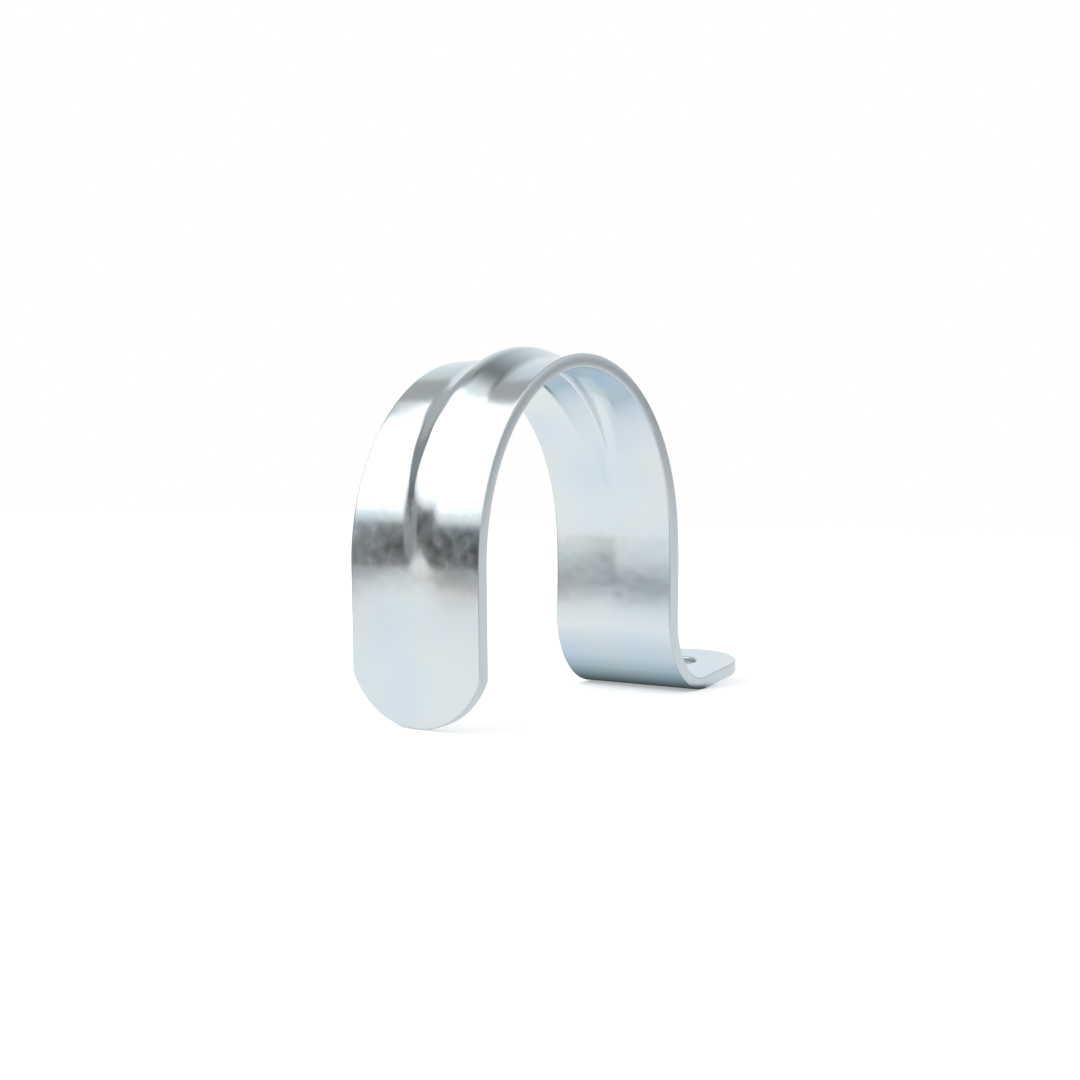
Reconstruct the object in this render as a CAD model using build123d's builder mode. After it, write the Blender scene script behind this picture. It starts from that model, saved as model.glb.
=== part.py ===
from build123d import *
import os
from math import cos, radians, sin

# One-ear pipe clamp, folded from a single steel strip: a free leg with a rounded tip, an arch over
# the pipe with a pressed stiffening bead, a second leg and one screw ear.
# The origin is on the pipe's axis at the middle of the strip, +Y runs along the pipe, +Z is up and
# the ear points along +X.

# Driving dimensions, in millimetres and degrees
pipe_diameter = 40.0
strip_width = 16.0
strip_thickness = 1.5

# The clamp's inside height is this much less than the pipe's diameter, so that the screw grips it
grip = 0.6

# Free leg: depth of its rounded tip, and the tip's clearance from the wall
tip_depth = 5.45
tip_clearance = 2.7

# Ear: inside radius of its bend, flat from the bend to the screw, and its lift before it is fixed
ear_bend_radius = 7.6
ear_flat = 7.1
ear_lift = 3.7
screw_hole_diameter = 5.5

# Bead: its height, the radius of its groove, the slope of its flanks, the radius at its foot and its
# place across the strip
bead_height = 1.3
bead_groove_radius = 1.0
bead_flank_angle = 25.0
bead_foot_radius = 2.5
bead_offset = -0.35

# How far the bead's own solid reaches into the strip, and where its crown has sunk that far, as an
# angle up from the pipe's centre
bead_root = 0.2
bead_end_angle = -13.0

# Radii and levels that follow from the driving dimensions
pipe_radius = pipe_diameter / 2
outer_radius = pipe_radius + strip_thickness
wall_level = grip - pipe_radius
tip_level = wall_level + tip_clearance
bend_outer_radius = ear_bend_radius + strip_thickness
ear_end_depth = strip_width / 2

# The bead's two faces share their centres of curvature, so the strip keeps its thickness
crown_radius = bead_groove_radius + strip_thickness
lip_radius = bead_foot_radius + strip_thickness
rounded_height = (crown_radius + bead_foot_radius) * (1 - cos(radians(bead_flank_angle)))
flank_length = (bead_height - rounded_height) / sin(radians(bead_flank_angle))

# One end of the crown's line, below the strip's outer face
bead_end_x = (outer_radius - bead_root) * cos(radians(bead_end_angle))
bead_end_z = (outer_radius - bead_root) * sin(radians(bead_end_angle))


def end_corners(end_plane, depth):
    # What is cut away where the strip ends in an arc; the plane's origin is the arc's outermost point
    radius = ((strip_width / 2) ** 2 + depth**2) / (2 * depth)
    with BuildSketch(end_plane) as corners:
        Rectangle(strip_width, depth, align=(Align.CENTER, Align.MIN))
        with Locations((0, radius)):
            Circle(radius, mode=Mode.SUBTRACT)
    return corners.sketch


def bead_profile(section_plane, top_radius, foot_radius):
    # One face of the bead: a crown arc, straight flanks and foot arcs, closed below; the section
    # plane's origin is the crown of the outer face
    with BuildSketch(section_plane) as profile:
        with BuildLine():
            top = CenterArc((0, -crown_radius), top_radius, 90, -bead_flank_angle)
            flank = PolarLine(top @ 1, flank_length, -bead_flank_angle)
            foot = JernArc(flank @ 1, flank % 1, foot_radius, bead_flank_angle)
            side = PolarLine(foot @ 1, bead_root, -90)
            base = Line(side @ 1, (0, (side @ 1).Y))
            mirror((top, flank, foot, side, base), about=Plane.YZ)
        make_face()
    return profile.sketch


# The line of the bead's crown: one arc, highest over the pipe, that sinks into the strip at its ends
with BuildLine(Plane.XZ.offset(-bead_offset)) as crown_line:
    crown_top = (0, outer_radius + bead_height)
    ThreePointArc((bead_end_x, bead_end_z), crown_top, (-bead_end_x, bead_end_z))
bead_path = crown_line.wire()
bead_plane = Plane(bead_path @ 0, x_dir=(0, -1, 0), z_dir=bead_path % 0)

# The bead's outer face, kept clear of the space that the pipe slides into
with BuildPart() as bead_ridge:
    sweep(bead_profile(bead_plane, crown_radius, bead_foot_radius), path=bead_path)
    with BuildSketch(Plane.XZ):
        Circle(pipe_radius)
        Rectangle(pipe_diameter, pipe_radius, align=(Align.CENTER, Align.MAX))
    extrude(amount=strip_width / 2, both=True, mode=Mode.SUBTRACT)

with BuildPart() as clamp_strap:
    # The strip's section, drawn along its inside face from the free tip to the ear's end
    with BuildSketch(Plane.XZ):
        with BuildLine():
            free_leg = Line((-pipe_radius, tip_level), (-pipe_radius, 0))
            arch = CenterArc((0, 0), pipe_radius, 180, -180)
            ear_leg = Line(arch @ 1, (pipe_radius, wall_level + bend_outer_radius))
            bend = JernArc(ear_leg @ 1, ear_leg % 1, bend_outer_radius, 90 + ear_lift)
            ear = PolarLine(bend @ 1, ear_flat + ear_end_depth, direction=bend % 1)
            offset(amount=strip_thickness, side=Side.LEFT)
        make_face()
    extrude(amount=strip_width / 2, both=True)

    # Both ends of the strip are rounded
    tip_plane = Plane((-outer_radius, 0, tip_level), x_dir=(0, 1, 0), z_dir=(1, 0, 0))
    extrude(end_corners(tip_plane, tip_depth), amount=strip_thickness, mode=Mode.SUBTRACT)
    ear_normal = Vector(0, 0, 1).rotate(Axis.Y, -ear_lift)
    ear_plane = Plane(Plane.XZ.from_local_coords(ear @ 1), x_dir=(0, 1, 0), z_dir=ear_normal)
    extrude(end_corners(ear_plane, ear_end_depth), amount=strip_thickness, mode=Mode.SUBTRACT)

    # The screw hole, at the centre of the ear's round end
    with Locations(ear_plane.location * Pos(0, ear_end_depth)):
        Hole(screw_hole_diameter / 2)

    # The bead stands out of the arch, with its groove behind it
    add(bead_ridge.part)
    sweep(bead_profile(bead_plane, bead_groove_radius, lip_radius), path=bead_path, mode=Mode.SUBTRACT)

clamp_strap.part.label = "clamp_strap"
os.makedirs("parts", exist_ok=True)
export_step(clamp_strap.part, "parts/clamp_strap.step")
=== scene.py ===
import bpy
import bmesh
import math
import numpy as np
from mathutils import Matrix, Vector


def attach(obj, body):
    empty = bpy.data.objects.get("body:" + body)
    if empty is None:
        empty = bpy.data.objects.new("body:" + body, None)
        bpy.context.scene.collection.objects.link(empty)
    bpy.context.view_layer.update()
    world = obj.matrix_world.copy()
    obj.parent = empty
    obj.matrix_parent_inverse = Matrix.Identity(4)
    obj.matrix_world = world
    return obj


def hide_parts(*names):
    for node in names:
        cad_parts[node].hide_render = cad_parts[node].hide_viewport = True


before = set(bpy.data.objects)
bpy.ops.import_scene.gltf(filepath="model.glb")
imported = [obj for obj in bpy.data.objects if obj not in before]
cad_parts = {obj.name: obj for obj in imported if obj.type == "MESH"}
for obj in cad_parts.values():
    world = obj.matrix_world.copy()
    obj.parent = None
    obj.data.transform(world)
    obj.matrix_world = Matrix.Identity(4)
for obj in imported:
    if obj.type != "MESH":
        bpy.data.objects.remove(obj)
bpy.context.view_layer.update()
mm = 0.001
print("packed clamp loaded")


# sRGB hex to linear, for every colour in the scene
def linear(hexColour):
    parts = [int(hexColour[i:i + 2], 16) / 255 for i in (1, 3, 5)]
    return [p / 12.92 if p <= 0.04045 else ((p + 0.055) / 1.055) ** 2.4 for p in parts] + [1.0]


# Adds a node, sets it up, and fills its inputs with values or links
def addNode(tree, kind, inputs=None, **settings):
    node = tree.nodes.new(kind)
    for name, value in settings.items():
        setattr(node, name, value)
    for socket, value in (inputs or {}).items():
        if isinstance(value, bpy.types.NodeSocket):
            tree.links.new(value, node.inputs[socket])
        else:
            node.inputs[socket].default_value = value
    return node


def newMaterial(name):
    material = bpy.data.materials.new(name)
    material.use_nodes = True
    material.node_tree.nodes.clear()
    return material, material.node_tree


# The strap, as the flat blank it is cut from: mm and degrees, the same sizes as the CAD solid
strap = {
    "width": 16.0,
    "thickness": 1.5,
    "pipeRadius": 20.0,
    "freeLeg": 16.7,          # from the tip's lowest point to the arch
    "tipDepth": 5.45,         # how deep the tip's arc is
    "earLeg": 10.3,           # from the arch to the ear's bend
    "bendRadius": 9.1,        # outside of the ear's bend
    "earLift": 3.7,           # degrees that the ear is lifted
    "earFlat": 7.1,           # from the bend to the screw
    "holeRadius": 2.75,
    "edgeRound": 0.14,        # slit edges are slightly broken by the plating barrel
    "holeRound": 0.3,         # the punched hole is rolled over more
    "edgeSteps": 3,
    "rows": 340,
    "firstRow": 0.5,          # more for the row along the tip, so that its broken edge has room
    "columnsAt": (-8.0, -4.4, 3.7, 8.0),   # finer columns across the bead
    "columns": (14, 56, 13),
    "holeSteps": 72,
    "earSteps": 64,
    "weld": 1e-3,             # points closer than this are one point
    "flatNormal": 0.98,       # faces steeper than this on the blank belong to its edge
    "normalWeight": 60,       # large faces lead the shading beside the broken edges
    "lipFrom": -4.6,          # the near edge turns out a little over the arch
    "lipRise": 0.42,
    "lipCurve": 1.6,
    "lipFade": 1.5,           # how its inner face comes back to the plain strip towards the ear leg
    "lipGrow": 0.5,           # and how much more its outer face swells there
    "droopFrom": 2.8,         # the far edge turns down a little
    "droop": 0.2,
    "droopCurve": 1.3,
    "legBow": 0.1,            # the ear leg is not quite flat
    "bowFrom": (-1.2, -2.7),  # past the arch: for most of the leg, and just beyond the bead's line
    "bowTo": 14.9,
    "crease": (1.4, 9.5),     # how wide the change at the bead's line is, and how far it reaches
    "pull": 0.16,             # the free leg is drawn in under the bead's end
    "pullWide": (2.4, 9.0),   # towards the near and the far edge
    "pullLevels": (1.5, -6.5),
}

# The bead along the arch, in mm and degrees
bead = {
    "height": 1.3,            # at the top of the arch
    "crownRadius": 2.5,
    "flank": 25.0,            # degrees
    "footRadius": 2.5,
    "offset": -0.35,
    "endAngle": -13.0,        # degrees above the pipe's centre where the crown is buried
    "root": 0.2,              # and how deep
    "grooveFrom": 0.3,        # the groove runs out where the crown is this high
    "noseHeight": 0.72,       # where its line would meet the free leg, but for the nose
    "nose": 7.2,              # degrees, its run-out above the free leg
    "noseEnd": 0.5,           # above the leg
    "noseRound": (0.35, 0.2),
    "skew": -0.45,            # how much nearer the near edge the nose stands than the top
}

archLength = math.pi * strap["pipeRadius"]
bendAngle = math.radians(90 + strap["earLift"])
bendLength = strap["bendRadius"] * bendAngle
archStart = strap["freeLeg"]
archEnd = archStart + archLength
archTop = archStart + archLength / 2
bendStart = archEnd + strap["earLeg"]
earStart = bendStart + bendLength
screwAt = earStart + strap["earFlat"]


def flatBlank():
    bm = bmesh.new()
    half = strap["width"] / 2
    columnCount = sum(strap["columns"])
    bmesh.ops.create_grid(bm, x_segments=strap["rows"], y_segments=columnCount, size=0.5)
    bmesh.ops.translate(bm, verts=bm.verts, vec=(0.5, 0.5, 0))
    marks = np.cumsum((0,) + strap["columns"]) / columnCount
    tipRadius = (half ** 2 + strap["tipDepth"] ** 2) / (2 * strap["tipDepth"])
    for v in bm.verts:
        along, across = v.co.x * earStart, float(np.interp(v.co.y, marks, strap["columnsAt"]))
        if along < archStart:   # the free leg is squeezed up into the tip's arc
            start = tipRadius - math.sqrt(tipRadius ** 2 - across ** 2)
            if along > 0:
                along += strap["firstRow"] * (1 - along / archStart)
            along = start + along * (archStart - start) / archStart
        v.co = (along, across, 0)

    # The ear: two straight sides, a round end and the screw hole, filled as one flat sheet
    lastRow = [v for v in bm.verts if abs(v.co.x - earStart) < strap["weld"]]
    rowEdges = [e for e in bm.edges if all(v in lastRow for v in e.verts)]
    corners = [min(lastRow, key=lambda v: v.co.y), max(lastRow, key=lambda v: v.co.y)]
    sides = bmesh.ops.extrude_vert_indiv(bm, verts=corners)
    bmesh.ops.translate(bm, verts=sides["verts"], vec=(strap["earFlat"], 0, 0))
    firstSide = min(sides["verts"], key=lambda v: v.co.y)
    bmesh.ops.spin(bm, geom=[firstSide], cent=(screwAt, 0, 0), axis=(0, 0, 1), angle=math.pi,
                   steps=strap["earSteps"])
    bmesh.ops.create_circle(bm, segments=strap["holeSteps"], radius=strap["holeRadius"],
                            matrix=Matrix.Translation((screwAt, 0, 0)))
    earVerts = [v for v in bm.verts if v.co.x > earStart - strap["weld"]]
    bmesh.ops.remove_doubles(bm, verts=earVerts, dist=strap["weld"])
    outline = rowEdges + [e for e in bm.edges if not e.link_faces]
    bmesh.ops.triangle_fill(bm, edges=outline, use_beauty=True, normal=(0, 0, 1))

    # Thickness, then the broken edges all round and in the hole
    bmesh.ops.recalc_face_normals(bm, faces=bm.faces)
    bmesh.ops.solidify(bm, geom=bm.faces[:], thickness=strap["thickness"])
    lowest = min(v.co.z for v in bm.verts)
    bmesh.ops.translate(bm, verts=bm.verts, vec=(0, 0, -lowest))
    bmesh.ops.recalc_face_normals(bm, faces=bm.faces)
    bm.normal_update()
    rim = [e for e in bm.edges if sorted(abs(f.normal.z) > 0.5 for f in e.link_faces) == [False, True]]
    inHole = [e for e in rim if all(math.hypot(v.co.x - screwAt, v.co.y) < half / 2 for v in e.verts)]
    around = [e for e in rim if e not in inHole]
    for edges, size in ((around, strap["edgeRound"]), (inHole, strap["holeRound"])):
        bmesh.ops.bevel(bm, geom=edges, offset=size, offset_type="OFFSET", segments=strap["edgeSteps"],
                        profile=0.5, affect="EDGES", material=-1)
    bm.normal_update()
    return bm


# Where a point of the flat blank goes on the folded strap: its place on the inside face and the way out
def foldedLine(along):
    r = strap["pipeRadius"]
    if along < archStart:
        return Vector((-r, 0, along - archStart)), Vector((-1, 0, 0))
    if along < archEnd:
        turn = math.pi - (along - archStart) / r
        out = Vector((math.cos(turn), 0, math.sin(turn)))
        return out * r, out
    if along < bendStart:
        return Vector((r, 0, archEnd - along)), Vector((1, 0, 0))
    turn = min((along - bendStart) / strap["bendRadius"], bendAngle)
    out = Vector((math.cos(turn), 0, math.sin(turn)))
    point = Vector((r + strap["bendRadius"], 0, -strap["earLeg"])) - out * strap["bendRadius"]
    return point + Vector((out.z, 0, -out.x)) * max(along - earStart, 0.0), out


def ease(share):
    share = min(max(share, 0.0), 1.0)
    return share * share * (3 - 2 * share)


# The lower of two heights, rounded where they cross
def lower(first, second, rounding):
    near = max(rounding - abs(first - second), 0.0) / rounding
    return min(first, second) - near * near * rounding / 4


# Height of the bead's crown over the strip's outer face: a straight nose above the free leg, and on
# the ear's side one arc that sinks into the strip
def crownHeight(along):
    point, out = foldedLine(along)
    outer = strap["pipeRadius"] + strap["thickness"]
    if point.x < 0:
        fromLeg = (along - archStart) * outer / strap["pipeRadius"]
        crown = bead["noseHeight"] + (bead["height"] - bead["noseHeight"]) * max(out.z, 0.0)
        nose = math.tan(math.radians(bead["nose"])) * (fromLeg - bead["noseEnd"])
        return -lower(-lower(crown, nose, bead["noseRound"][0]), 0.0, bead["noseRound"][1])
    top, buried = outer + bead["height"], outer - bead["root"]
    endLevel = buried * math.sin(math.radians(bead["endAngle"]))
    centre = (top ** 2 - buried ** 2) / (2 * (top - endLevel))
    start = point + out * strap["thickness"] - Vector((0, 0, centre))
    inside = start.dot(out) ** 2 - start.length_squared + (top - centre) ** 2
    return math.sqrt(inside) - start.dot(out) if inside > 0 else 0.0


# How far a face of the strip stands out at the bead: a crown arc, straight flanks and foot arcs
def beadRise(aside, height, topRadius, footRadius):
    if height <= 0:
        return 0.0
    flank = math.radians(bead["flank"])
    topHalf, footHalf = topRadius * math.sin(flank), footRadius * math.sin(flank)
    rounded = (topRadius + footRadius) * (1 - math.cos(flank))
    share, height = min(height / rounded, 1.0), max(height, rounded)
    straight = (height - rounded) / math.tan(flank)
    side = abs(aside)
    foot = topHalf + straight + footHalf - side
    if foot <= 0:
        return 0.0
    if side <= topHalf:
        return share * (height - topRadius + math.sqrt(topRadius ** 2 - side ** 2))
    if foot >= footHalf:
        return share * (footRadius * (1 - math.cos(flank)) + (foot - footHalf) * math.tan(flank))
    return share * (footRadius - math.sqrt(footRadius ** 2 - foot ** 2))


# The bead on the outer face and its groove on the inner face
def pressedBead(along, across, depth):
    if along >= bendStart:
        return 0.0
    point, out = foldedLine(along)
    thick = strap["thickness"]
    height = crownHeight(along)
    hollow = (height - bead["grooveFrom"]) * bead["height"] / (bead["height"] - bead["grooveFrom"])
    aside = across - bead["offset"]
    if point.x < 0:
        aside -= bead["skew"] * (1 - max(out.z, 0.0))
    inner = beadRise(aside, hollow, bead["crownRadius"] - thick, bead["footRadius"] + thick)
    outer = beadRise(aside, height, bead["crownRadius"], bead["footRadius"])
    return inner + (outer - inner) * depth / thick


# The near edge, turned out over the arch; on the ear's side its outer face swells as well
def nearLip(along, across, depth):
    if not archStart < along < earStart or across >= strap["lipFrom"]:
        return 0.0
    point, out = foldedLine(along)
    inside = outside = out.z ** 2
    if point.x > 0:
        inside = max(out.z, 0.0) ** strap["lipFade"] if along < archEnd else 0.0
        outside = 1 + strap["lipGrow"] * ease((along - archTop) / (bendStart - archTop))
        outside *= 1 - ease((along - bendStart) / bendLength)
    share = (strap["lipFrom"] - across) / (strap["lipFrom"] + strap["width"] / 2)
    through = inside + (outside - inside) * depth / strap["thickness"]
    return strap["lipRise"] * share ** strap["lipCurve"] * through


# The far edge, turned down over the arch
def farDroop(along, across):
    if not archStart < along < archEnd or across <= strap["droopFrom"]:
        return 0.0
    out = foldedLine(along)[1]
    share = (across - strap["droopFrom"]) / (strap["width"] / 2 - strap["droopFrom"])
    return -strap["droop"] * share ** strap["droopCurve"] * (1 - (1 - out.z) ** 2)


# The ear leg, bowed out above and in below, and sooner just beyond the bead's line
def earLegBow(along, across):
    aside = across - bead["offset"]
    beyond = ease(aside / strap["crease"][0] + 0.5) * (1 - ease(aside / strap["crease"][1]))
    rise = 0.0
    for start, share in zip(strap["bowFrom"], (1 - beyond, beyond)):
        bow = (along - archEnd - start) / (strap["bowTo"] - start)
        if 0 < bow < 1:
            rise += share * strap["legBow"] * math.sin(2 * math.pi * bow)
    return rise


# The free leg, drawn in under the bead's end
def freeLegPull(along, across):
    point = foldedLine(along)[0]
    if point.x >= 0:
        return 0.0
    top, bottom = strap["pullLevels"]
    aside = across - bead["offset"]
    wide = strap["pullWide"][0 if aside < 0 else 1]
    return -strap["pull"] * ease((top - point.z) / (top - bottom)) * math.exp(-(aside / wide) ** 2)


# The flat blank gets its own UV and its two finishes, and is then folded and pressed
def foldStrap(bm):
    uv = bm.loops.layers.uv.new("blank")
    for face in bm.faces:
        face.smooth = True
        face.material_index = 0 if abs(face.normal.z) > strap["flatNormal"] else 1
        for loop in face.loops:
            p = loop.vert.co
            aside = p.z if face.material_index else 0.0
            loop[uv].uv = (p.x * mm, (p.y + aside) * mm)
    for v in bm.verts:
        along, across, depth = v.co
        point, out = foldedLine(along)
        rise = pressedBead(along, across, depth) + nearLip(along, across, depth)
        rise += farDroop(along, across) + earLegBow(along, across) + freeLegPull(along, across)
        v.co = (point + out * (depth + rise) + Vector((0, across, 0))) * mm


bm = flatBlank()
foldStrap(bm)
bmesh.ops.recalc_face_normals(bm, faces=bm.faces)
strapMesh = bpy.data.meshes.new("clampStrap")
bm.to_mesh(strapMesh)
bm.free()
clampStrap = bpy.data.objects.new("clampStrap", strapMesh)
bpy.context.scene.collection.objects.link(clampStrap)
evenNormals = clampStrap.modifiers.new("evenNormals", "WEIGHTED_NORMAL")
evenNormals.weight = strap["normalWeight"]
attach(clampStrap, "root")
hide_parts("clamp_strap")
print("strap folded:", len(strapMesh.polygons), "faces")


# Bright zinc on cold-rolled strip, blue passivated: a pale bluish metal, nearly a mirror, with fine
# rolling lines along the strip and faint drifts of colour in the passivation
zinc = {
    "tints": ((0.35, "#d1dee7"), (0.5, "#d7e1e5"), (0.68, "#dce2e2")),   # blue, pale and warm drifts
    "roughness": (0.155, 0.175),
    "lineLength": 14.0,       # mm, rolling lines
    "lineWidth": 0.35,
    "lineNoise": (3.0, 0.6),  # detail and roughness of the noise
    "lineSpan": (0.3, 0.7),   # the part of it that changes the metal's roughness
    "driftSize": 11.0,        # mm, passivation colour
    "driftDetail": 2.0,
    "cloudSize": 1.2,         # mm, dull patches in the plating
    "cloudNoise": (1.0, 0.4),
    "waveSize": 2.6,          # mm, the strip's waviness
    "waveDetail": 1.0,
    "lineDepth": 0.0003,      # mm
    "waveDepth": 0.012,       # mm
    "dullRoughness": 0.55,
    "dullLines": 0.12,        # the rolling lines' share in a dull patch
    "dullSpan": (0.3, 0.75),  # the part of the clouds' noise that is dull
    "veil": 0.36,             # how much of a dull patch shows
    "veilAt": 2.4,            # mm above the free leg, where it was bent
    "veilReach": (2.94, 5.46),   # mm from there, where the dull patches begin to fade and end
}


def zincFaces():
    material, tree = newMaterial("zincPlatedSteel")
    blank = addNode(tree, "ShaderNodeUVMap", uv_map="blank").outputs["UV"]
    lines = addNode(tree, "ShaderNodeMapping", {
        "Vector": blank,
        "Scale": (1 / (zinc["lineLength"] * mm), 1 / (zinc["lineWidth"] * mm), 1)}).outputs["Vector"]
    rolling = addNode(tree, "ShaderNodeTexNoise", {
        "Vector": lines, "Scale": 1.0, "Detail": zinc["lineNoise"][0],
        "Roughness": zinc["lineNoise"][1]}).outputs["Fac"]
    rough = addNode(tree, "ShaderNodeMapRange", {
        "Value": rolling, "From Min": zinc["lineSpan"][0], "From Max": zinc["lineSpan"][1],
        "To Min": zinc["roughness"][0], "To Max": zinc["roughness"][1]}).outputs["Result"]

    # Drifts of colour
    drift = addNode(tree, "ShaderNodeTexNoise", {
        "Vector": blank, "Scale": 1 / (zinc["driftSize"] * mm),
        "Detail": zinc["driftDetail"]}).outputs["Fac"]
    tint = addNode(tree, "ShaderNodeValToRGB", {"Fac": drift})
    (blueAt, blue), (paleAt, pale), (warmAt, warm) = zinc["tints"]
    stops = tint.color_ramp.elements
    stops[0].position, stops[0].color = blueAt, linear(blue)
    stops[1].position, stops[1].color = warmAt, linear(warm)
    stops.new(paleAt).color = linear(pale)

    # Dull patches where the free leg was bent
    cloud = addNode(tree, "ShaderNodeTexNoise", {
        "Vector": blank, "Scale": 1 / (zinc["cloudSize"] * mm), "Detail": zinc["cloudNoise"][0],
        "Roughness": zinc["cloudNoise"][1]}).outputs["Fac"]
    dull = addNode(tree, "ShaderNodeMix", {
        "Factor": zinc["dullLines"], "A": cloud, "B": rolling}).outputs["Result"]
    along = addNode(tree, "ShaderNodeSeparateXYZ", {"Vector": blank}).outputs["X"]
    middle = (archStart + zinc["veilAt"]) * mm
    away = addNode(tree, "ShaderNodeMath", {0: along, 1: middle}, operation="SUBTRACT").outputs[0]
    away = addNode(tree, "ShaderNodeMath", {0: away}, operation="ABSOLUTE").outputs[0]
    bent = addNode(tree, "ShaderNodeMapRange", {
        "Value": away, "From Min": zinc["veilReach"][0] * mm, "From Max": zinc["veilReach"][1] * mm,
        "To Min": zinc["veil"], "To Max": 0.0}).outputs["Result"]
    veil = addNode(tree, "ShaderNodeMapRange", {
        "Value": dull, "From Min": zinc["dullSpan"][0], "From Max": zinc["dullSpan"][1],
        "To Max": bent}).outputs["Result"]

    # The strip's waves, and the rolling lines over them
    waves = addNode(tree, "ShaderNodeTexNoise", {
        "Vector": blank, "Scale": 1 / (zinc["waveSize"] * mm),
        "Detail": zinc["waveDetail"]}).outputs["Fac"]
    wavy = addNode(tree, "ShaderNodeBump", {
        "Height": waves, "Strength": 1.0, "Distance": zinc["waveDepth"] * mm}).outputs["Normal"]
    lined = addNode(tree, "ShaderNodeBump", {
        "Height": rolling, "Strength": 1.0, "Normal": wavy,
        "Distance": zinc["lineDepth"] * mm}).outputs["Normal"]
    metal = {"Base Color": tint.outputs["Color"], "Metallic": 1.0, "Normal": lined}
    bright = addNode(tree, "ShaderNodeBsdfPrincipled", {**metal, "Roughness": rough})
    dulled = addNode(tree, "ShaderNodeBsdfPrincipled", {**metal, "Roughness": zinc["dullRoughness"]})
    both = addNode(tree, "ShaderNodeMixShader", {
        0: veil, 1: bright.outputs["BSDF"], 2: dulled.outputs["BSDF"]})
    addNode(tree, "ShaderNodeOutputMaterial", {"Surface": both.outputs[0]})
    return material


# The slit edges: the same zinc over a sheared surface, so duller and a little darker; marks in mm
slitEdge = {"colour": "#c6cfd3", "roughness": 0.3, "markSpacing": 0.25, "markLength": 1.2,
            "markDepth": 0.01, "markDetail": 2.0}


def zincEdges():
    material, tree = newMaterial("zincPlatedSlitEdge")
    blank = addNode(tree, "ShaderNodeUVMap", uv_map="blank").outputs["UV"]
    across, down = slitEdge["markSpacing"] * mm, slitEdge["markLength"] * mm
    marks = addNode(tree, "ShaderNodeMapping", {
        "Vector": blank, "Scale": (1 / across, 1 / down, 1)}).outputs["Vector"]
    shear = addNode(tree, "ShaderNodeTexNoise", {
        "Vector": marks, "Scale": 1.0, "Detail": slitEdge["markDetail"]}).outputs["Fac"]
    bump = addNode(tree, "ShaderNodeBump", {
        "Height": shear, "Strength": 1.0, "Distance": slitEdge["markDepth"] * mm}).outputs["Normal"]
    shader = addNode(tree, "ShaderNodeBsdfPrincipled", {
        "Base Color": linear(slitEdge["colour"]), "Metallic": 1.0, "Roughness": slitEdge["roughness"],
        "Normal": bump})
    addNode(tree, "ShaderNodeOutputMaterial", {"Surface": shader.outputs["BSDF"]})
    return material


clampStrap.data.materials.append(zincFaces())
clampStrap.data.materials.append(zincEdges())
print("zinc on faces and edges")

# The camera, fitted to the clamp's edges in the photograph: mm and degrees
shot = {"place": (-157.215, -98.686, 16.104), "heading": 58.38, "down": 4.59, "roll": -0.48,
        "lens": 55.253, "sensor": 36.0, "nearest": 10.0}
camera = bpy.data.objects.new("camera", bpy.data.cameras.new("camera"))
bpy.context.scene.collection.objects.link(camera)
turn = (Matrix.Rotation(math.radians(-shot["heading"]), 4, "Z")
        @ Matrix.Rotation(math.radians(90 - shot["down"]), 4, "X")
        @ Matrix.Rotation(math.radians(shot["roll"]), 4, "Z"))
camera.matrix_world = Matrix.Translation(Vector(shot["place"]) * mm) @ turn
camera.data.sensor_width = shot["sensor"]
camera.data.lens = shot["lens"]
camera.data.clip_start = shot["nearest"] * mm
bpy.context.scene.camera = camera

# A white table, in mm, through the two lines that the clamp stands on: its free tip and the ear's bend
table = {
    "reach": 900.0,
    "tipLine": (-20.75, -16.72),   # x and z
    "bendLine": (28.6, -19.41),
    "colour": "#f2f2f2",
    "lift": 0.35,             # glow for the eye, which keeps the shadow pale
    "even": 0.65,             # how much of the shadow the metal doesn't see
    "white": 1.14,            # and the white that it sees instead
}


def whiteTable():
    material, tree = newMaterial("whitePaper")
    path = addNode(tree, "ShaderNodeLightPath").outputs
    paper = addNode(tree, "ShaderNodeBsdfDiffuse", {"Color": linear(table["colour"])})
    lift = addNode(tree, "ShaderNodeMath", {0: path["Is Camera Ray"], 1: table["lift"]}, operation="MULTIPLY")
    glow = addNode(tree, "ShaderNodeEmission", {"Strength": lift.outputs[0]})
    lit = addNode(tree, "ShaderNodeAddShader", {0: paper.outputs[0], 1: glow.outputs[0]})
    even = addNode(tree, "ShaderNodeMath", {0: path["Is Glossy Ray"], 1: table["even"]}, operation="MULTIPLY")
    white = addNode(tree, "ShaderNodeEmission", {"Strength": table["white"]})
    both = addNode(tree, "ShaderNodeMixShader", {
        0: even.outputs[0], 1: lit.outputs[0], 2: white.outputs[0]})
    addNode(tree, "ShaderNodeOutputMaterial", {"Surface": both.outputs[0]})
    return material


def stageObject(name, bm, material):
    mesh = bpy.data.meshes.new(name)
    bm.to_mesh(mesh)
    bm.free()
    mesh.materials.append(material)
    made = bpy.data.objects.new(name, mesh)
    bpy.context.scene.collection.objects.link(made)
    return made


def tableLevel(x):
    slope = (table["bendLine"][1] - table["tipLine"][1]) / (table["bendLine"][0] - table["tipLine"][0])
    return table["tipLine"][1] + slope * (x - table["tipLine"][0])


bm = bmesh.new()
bmesh.ops.create_grid(bm, x_segments=1, y_segments=1, size=table["reach"] * mm)
for v in bm.verts:
    v.co.z = tableLevel(v.co.x / mm) * mm
stageObject("table", bm, whiteTable())

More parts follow.
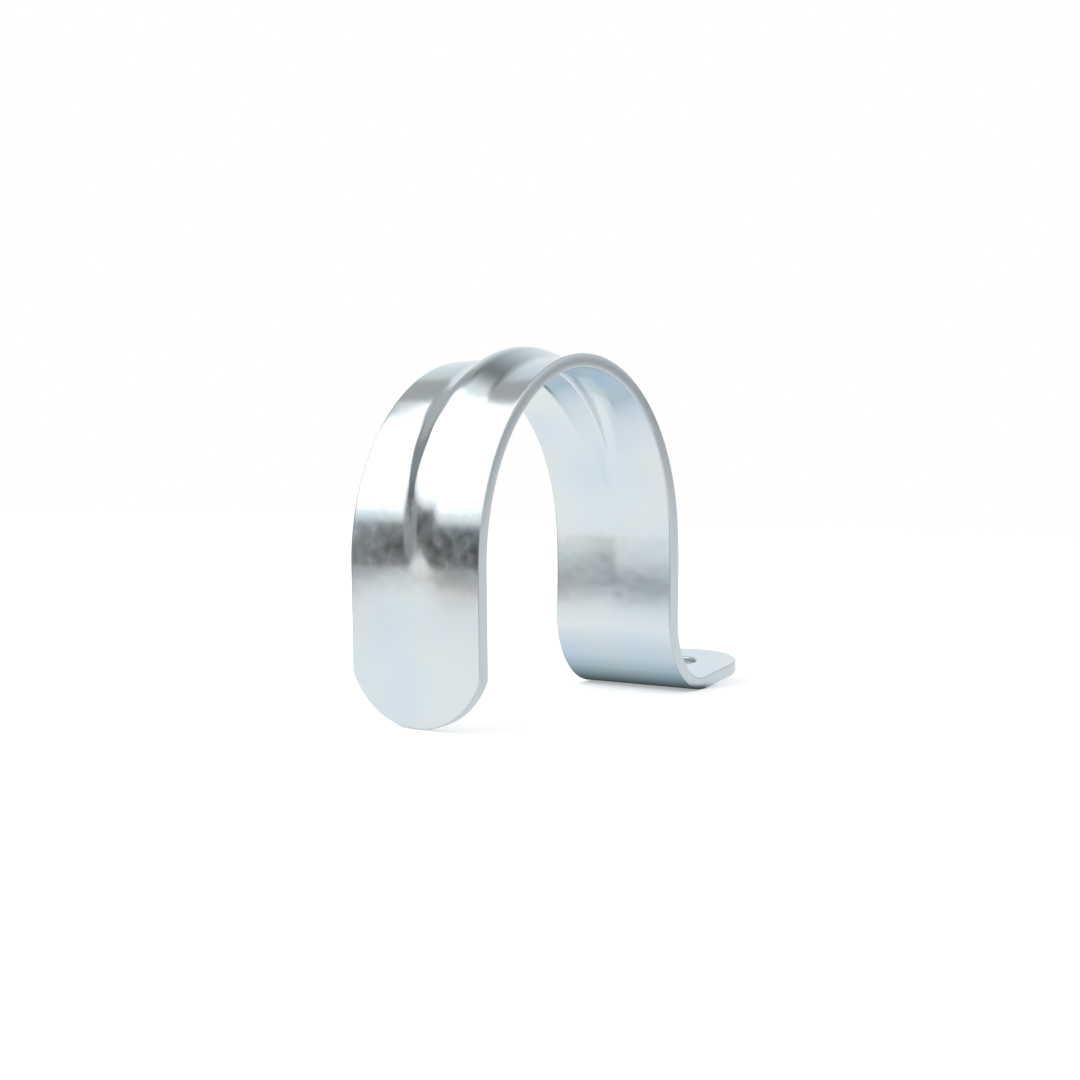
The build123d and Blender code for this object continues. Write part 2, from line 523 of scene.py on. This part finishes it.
# White all round for the eye and for the metal, a plain level of light for the rest
studio = {"colour": "#ffffff", "light": 0.75, "seen": 1.0}
world = bpy.data.worlds.new("studio")
bpy.context.scene.world = world
world.use_nodes = True
tree = world.node_tree
tree.nodes.clear()
path = addNode(tree, "ShaderNodeLightPath").outputs
seen = path["Is Camera Ray"]
for ray in ("Is Glossy Ray", "Is Transmission Ray"):
    seen = addNode(tree, "ShaderNodeMath", {0: seen, 1: path[ray]}, operation="MAXIMUM").outputs[0]
strength = addNode(tree, "ShaderNodeMapRange", {
    "Value": seen, "To Min": studio["light"], "To Max": studio["seen"]}).outputs["Result"]
sky = addNode(tree, "ShaderNodeBackground", {"Color": linear(studio["colour"]), "Strength": strength})
addNode(tree, "ShaderNodeOutputWorld", {"Surface": sky.outputs[0]})


# A direction from azimuth (from +X towards +Y) and elevation, both in degrees
def towards(azimuth, elevation):
    a, e = math.radians(azimuth), math.radians(elevation)
    return Vector((math.cos(a) * math.cos(e), math.sin(a) * math.cos(e), math.sin(e)))


# One large lamp for the table's shadow: degrees and mm
softbox = {"azimuth": 118.0, "elevation": 42.0, "away": 450.0, "wide": 620.0, "high": 330.0, "light": 1.5}
lamp = bpy.data.lights.new("softbox", "AREA")
lamp.shape = "RECTANGLE"
lamp.size, lamp.size_y = softbox["wide"] * mm, softbox["high"] * mm
lamp.energy = softbox["light"] * math.pi * lamp.size * lamp.size_y
lampObject = bpy.data.objects.new("softbox", lamp)
bpy.context.scene.collection.objects.link(lampObject)
aim = towards(softbox["azimuth"], softbox["elevation"])
lampObject.location = aim * softbox["away"] * mm
lampObject.visible_glossy = False
lampObject.rotation_euler = aim.to_track_quat("Z", "Y").to_euler()


# Cards that only the metal sees, and how finely they are divided
cards = {"colour": "#ffffff", "stepsUp": 24, "stepsRound": 32}


def metalOnly(name, bm, material):
    made = stageObject(name, bm, material)
    made.visible_camera = made.visible_diffuse = made.visible_shadow = False


def evenCloth(name, glow):
    material, tree = newMaterial(name + "Cloth")
    cloth = addNode(tree, "ShaderNodeEmission", {"Color": linear(cards["colour"]), "Strength": glow})
    addNode(tree, "ShaderNodeOutputMaterial", {"Surface": cloth.outputs[0]})
    return material


# Brightness and tint in steps along a value from 0 to 1
def gradedCloth(name, value, grades):
    material, tree = newMaterial(name + "Cloth")
    ramp = addNode(tree, "ShaderNodeValToRGB", {"Fac": value(tree)})
    stops = ramp.color_ramp.elements
    stops.remove(stops[1])
    for i, (place, glow, tint) in enumerate(grades):
        stop = stops[0] if i == 0 else stops.new(place)
        stop.position, stop.color = place, [glow * t for t in linear(tint)[:3]] + [1.0]
    cloth = addNode(tree, "ShaderNodeEmission", {"Color": ramp.outputs["Color"], "Strength": 1.0})
    addNode(tree, "ShaderNodeOutputMaterial", {"Surface": cloth.outputs[0]})
    return material


def sineOfElevation(tree):
    place = addNode(tree, "ShaderNodeTexCoord").outputs["Object"]
    aim = addNode(tree, "ShaderNodeVectorMath", {0: place}, operation="NORMALIZE").outputs["Vector"]
    return addNode(tree, "ShaderNodeSeparateXYZ", {"Vector": aim}).outputs["Z"]


def byElevation(tint, grades):
    return [(math.sin(math.radians(elevation)), glow, tint) for elevation, glow in grades]


# A patch of a sphere round the clamp, between two azimuths and two elevations
def dome(azimuths, elevations, away):
    bm = bmesh.new()
    bm.verts.new(towards(azimuths[0], elevations[0]) * away * mm)
    bmesh.ops.spin(bm, geom=bm.verts[:], cent=(0, 0, 0), axis=towards(azimuths[0] - 90, 0),
                   steps=cards["stepsUp"], angle=math.radians(elevations[1] - elevations[0]))
    bmesh.ops.spin(bm, geom=bm.verts[:] + bm.edges[:], cent=(0, 0, 0), axis=(0, 0, 1),
                   steps=cards["stepsRound"], angle=math.radians(azimuths[1] - azimuths[0]))
    return bm


# A white tent over the far side with greyer hems, and grey at the front: azimuths and elevations in
# degrees, mm away, and how bright
tent = {
    "tent": ((77.0, 245.0), (20.5, 89.9), 420.0, 1.7),
    "tentHem": ((74.0, 77.0), (36.0, 89.9), 425.0, 0.8),
    "tentSkirt": ((77.0, 85.0), (36.0, 51.0), 415.0, 0.42),
    "skirtHem": ((85.0, 91.0), (36.0, 51.0), 415.0, 0.8),
    "tentSide": ((77.0, 98.0), (8.0, 36.0), 410.0, 0.28),
    "front": ((296.0, 356.0), (-1.0, 9.0), 400.0, 0.4),
}
for name, (azimuths, elevations, away, glow) in tent.items():
    metalOnly(name, dome(azimuths, elevations, away), evenCloth(name, glow))

# Sweeps behind the arch that darken upwards, the same way but with brightness by elevation
sweeps = {
    "sweep": ((-35.0, 77.0), (-5.0, 84.0), 440.0, byElevation("#f5fbff", (
        (0, 1.0), (12, 0.98), (25, 0.92), (35, 0.83), (45, 0.66), (55, 0.48), (61, 0.34), (67, 0.23),
        (73, 0.27), (79, 0.6), (84, 1.0)))),
    "sideSweep": ((51.0, 77.0), (-5.0, 80.0), 430.0, byElevation("#ffffff", (
        (0, 0.5), (35, 0.5), (45, 0.45), (60, 0.42), (68, 0.4), (74, 0.55), (80, 0.9)))),
}
for name, (azimuths, elevations, away, grades) in sweeps.items():
    metalOnly(name, dome(azimuths, elevations, away), gradedCloth(name, sineOfElevation, grades))

# Dark cloth standing in an arc behind the free leg, greyer to one side: mm, then azimuths in degrees
# and how bright
fences = {
    "centre": -21.0,
    "away": 97.0,
    "heights": (-25.0, 31.5),
    "steps": 24,
    "cloths": {"darkFence": ((139.0, 245.0), 0.09), "greyFence": ((98.0, 139.0), 0.32),
               "sideFence": ((70.0, 98.0), 0.16)},
}


def fence(azimuths):
    bm = bmesh.new()
    bottom, top = fences["heights"]
    foot = bm.verts.new((towards(azimuths[0], 0) * fences["away"] + Vector((0, 0, bottom))) * mm)
    post = bmesh.ops.extrude_vert_indiv(bm, verts=[foot])
    bmesh.ops.translate(bm, verts=post["verts"], vec=(0, 0, (top - bottom) * mm))
    bmesh.ops.spin(bm, geom=bm.verts[:] + bm.edges[:], cent=(0, 0, 0), axis=(0, 0, 1),
                   steps=fences["steps"], angle=math.radians(azimuths[1] - azimuths[0]))
    bmesh.ops.translate(bm, verts=bm.verts, vec=(fences["centre"] * mm, 0, 0))
    return bm


for name, (azimuths, glow) in fences["cloths"].items():
    metalOnly(name, fence(azimuths), evenCloth(name, glow))

# A painted shadow on the table where the ear's bend touches it, fading out under the ear: a card that only
# the metal sees, graded dark and bluish in place of the contact shadow. mm, and grades from one end in x to
# the other
shade = {
    "x": (2.0, 44.0),
    "y": (-10.0, 16.0),
    "above": 0.04,
    "grades": ((0.0, 1.05, "#fcfdff"), (0.276, 0.98, "#f1f7ff"), (0.421, 0.88, "#eaf5ff"),
               (0.487, 0.66, "#e3f6ff"), (0.559, 0.2, "#dff8fb"), (0.587, 0.08, "#dff8fb"),
               (0.66, 0.06, "#dff8fb"), (0.75, 0.65, "#eaf5ff"), (0.81, 1.0, "#fcfdff")),
}


def acrossShade(tree):
    place = addNode(tree, "ShaderNodeTexCoord").outputs["Object"]
    x = addNode(tree, "ShaderNodeSeparateXYZ", {"Vector": place}).outputs["X"]
    return addNode(tree, "ShaderNodeMapRange", {
        "Value": x, "From Min": shade["x"][0] * mm, "From Max": shade["x"][1] * mm}).outputs["Result"]


bm = bmesh.new()
bmesh.ops.create_grid(bm, x_segments=1, y_segments=1, size=0.5)
for v in bm.verts:
    x = shade["x"][0] + (v.co.x + 0.5) * (shade["x"][1] - shade["x"][0])
    y = shade["y"][0] + (v.co.y + 0.5) * (shade["y"][1] - shade["y"][0])
    v.co = Vector((x, y, tableLevel(x) + shade["above"])) * mm
# the painted contact shadow under the bend, a glowing card seen only in the metal
metalOnly("paintedBendShadow", bm, gradedCloth("paintedBendShadow", acrossShade, shade["grades"]))
bpy.context.scene.view_settings.view_transform = "Standard"
print("table, softbox and cards set")
